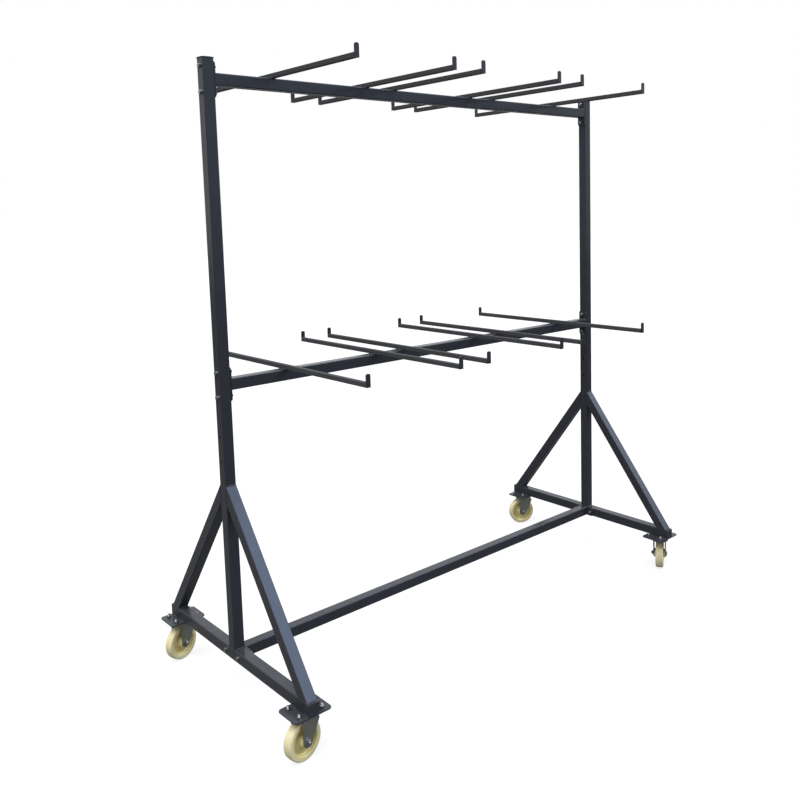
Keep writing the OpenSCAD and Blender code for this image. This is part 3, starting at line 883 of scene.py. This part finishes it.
def hex_bolt(name, across_flats, head, diameter, pitch, length, threaded):
    """A bolt with the underside of its head at the origin and its shank along +Z."""
    head_rings = hex_rings(across_flats, head, chamfer_foot=False)
    rings = [[Vector((p.x, p.y, -p.z)) for p in points] for points in reversed(head_rings)]
    plain = length - threaded
    rings += [plain_ring(diameter / 2, 0.0), plain_ring(diameter / 2, plain)]
    rings += thread_rings(diameter, pitch, plain + THREAD_START_GAP, length)
    return solid_from_rings(name, rings, hollow=False)


def hex_nut(name, across_flats, height, bore):
    """A nut that stands on the origin along +Z."""
    mouth = bore + COUNTERSINK
    rings = hex_rings(across_flats, height, chamfer_foot=True)
    rings += [plain_ring(mouth, height), plain_ring(bore, height - COUNTERSINK),
              plain_ring(bore, COUNTERSINK), plain_ring(mouth, 0.0)]
    return solid_from_rings(name, rings, hollow=True)


def make_fastener_tree():
    """Sets one fastener on each point, along the point's heading and turned by chance."""
    build, given, result = new_piece_tree("Fastener set", [
        ("Fastener", "NodeSocketObject", None),
        ("Angle Spread", "NodeSocketFloat", math.pi / 3),
        ("Seed", "NodeSocketInt", 3), ("Finish", "NodeSocketMaterial", None)])
    source = build.add("GeometryNodeObjectInfo", None,
                       {"Object": given["Fastener"], "As Instance": True})
    heading = build.add("GeometryNodeInputNamedAttribute", {"data_type": "FLOAT_VECTOR"},
                        {"Name": "heading"})
    aimed = build.add("FunctionNodeAlignRotationToVector", {"axis": "Z"},
                      {"Vector": heading.outputs["Attribute"]}).outputs["Rotation"]
    chance = build.add("FunctionNodeRandomValue", {"data_type": "FLOAT"},
                       {"Seed": given["Seed"]})
    build.put(chance.inputs[RANDOM_HIGHEST], given["Angle Spread"])
    own_turn = build.add("FunctionNodeAxisAngleToRotation", None,
                         {"Axis": (0.0, 0.0, 1.0), "Angle": chance.outputs[RANDOM_NUMBER]})
    turned = build.add("FunctionNodeRotateRotation", {"rotation_space": "LOCAL"},
                       {"Rotation": aimed,
                        "Rotate By": own_turn.outputs["Rotation"]}).outputs["Rotation"]
    placed = build.add("GeometryNodeInstanceOnPoints", None,
                       {"Points": given["Geometry"], "Instance": source.outputs["Geometry"],
                        "Rotation": turned}).outputs["Instances"]
    finish_piece(build, placed, given["Finish"], result)
    return build.tree


FASTENER_TREE = make_fastener_tree()


def set_fasteners(name, node, fastener, spots, seed, body="root"):
    """Puts a copy of a fastener at each (place, heading) in the stead of a CAD node."""
    points = bpy.data.meshes.new(name)
    points.from_pydata([tuple(place) for place, _ in spots], [], [])
    headings = points.attributes.new("heading", "FLOAT_VECTOR", "POINT")
    headings.data.foreach_set("vector", [value for _, heading in spots for value in heading])
    piece = grow(name, points, FASTENER_TREE,
                 {"Fastener": fastener, "Seed": seed, "Finish": FINISH["bright_zinc"]},
                 body)
    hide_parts(node)
    data = fastener.data
    bpy.data.objects.remove(fastener)
    bpy.data.meshes.remove(data)


def spots_on_frame(node, axis, inset):
    """Where a node's fasteners start, inset from their outer ends, and the way they point."""
    spots = []
    for low, high in solid_boxes(node):
        place = (low + high) / 2
        heading = Vector((0.0, 0.0, 0.0))
        heading[axis] = -1.0 if axis == 0 and place.x > 0 else 1.0
        outer = high[axis] if heading[axis] < 0 else low[axis]
        place[axis] = outer + heading[axis] * inset
        spots.append((place, heading))
    return spots


def shank_length(node, axis, head):
    """The length of a node's first fastener without its head."""
    low, high = solid_boxes(node)[0]
    return high[axis] - low[axis] - head


def make_frame_fasteners():
    """Bolts and nuts of the rails along X, and of the casters along Z."""
    for node, axis, shown, seed in (("frame_bolts", 0, THREAD_SHOWN, 3),
                                    ("plate_bolts", 2, LONG_THREAD_SHOWN, 4)):
        bolt = hex_bolt(node, M8_ACROSS_FLATS, M8_HEAD_HEIGHT, M8_THREAD, M8_PITCH,
                        shank_length(node, axis, M8_HEAD_HEIGHT), shown)
        spots = spots_on_frame(node, axis, M8_HEAD_HEIGHT)
        set_fasteners("hex_" + node, node, bolt, spots, seed)
    for node, axis, seed in (("frame_nuts", 0, 5), ("plate_nuts", 2, 6)):
        nut = hex_nut(node, M8_ACROSS_FLATS, shank_length(node, axis, 0.0),
                      M8_THREAD / 2 + THREAD_CLEARANCE)
        set_fasteners("hex_" + node, node, nut, spots_on_frame(node, axis, 0.0), seed)


def make_axle_fasteners():
    """The bolt and nut of each axle, on the body of its fork."""
    length = 2 * FORK_HALF_WIDTH + M10_NUT_HEIGHT + AXLE_PAST_NUT
    for number, corner in enumerate(CORNERS):
        joint = JOINTS[corner + "_spin"]
        centre, heading = Vector(joint["pos_m"]), Vector(joint["axis"]).normalized()
        to_face = heading * FORK_HALF_WIDTH
        bolt = hex_bolt("bolt", M10_ACROSS_FLATS, M10_HEAD_HEIGHT, M10_THREAD, M10_PITCH,
                        length, THREAD_SHOWN)
        set_fasteners(corner + "_axle_bolt", corner + "_axle", bolt,
                      [(centre - to_face, heading)], AXLE_SEED + number, joint["parent"])
        nut = hex_nut("nut", M10_ACROSS_FLATS, M10_NUT_HEIGHT,
                      M10_THREAD / 2 + THREAD_CLEARANCE)
        set_fasteners(corner + "_axle_hex_nut", corner + "_axle_nut", nut,
                      [(centre + to_face, heading)], AXLE_NUT_SEED + number, joint["parent"])


make_frame_fasteners()
make_axle_fasteners()
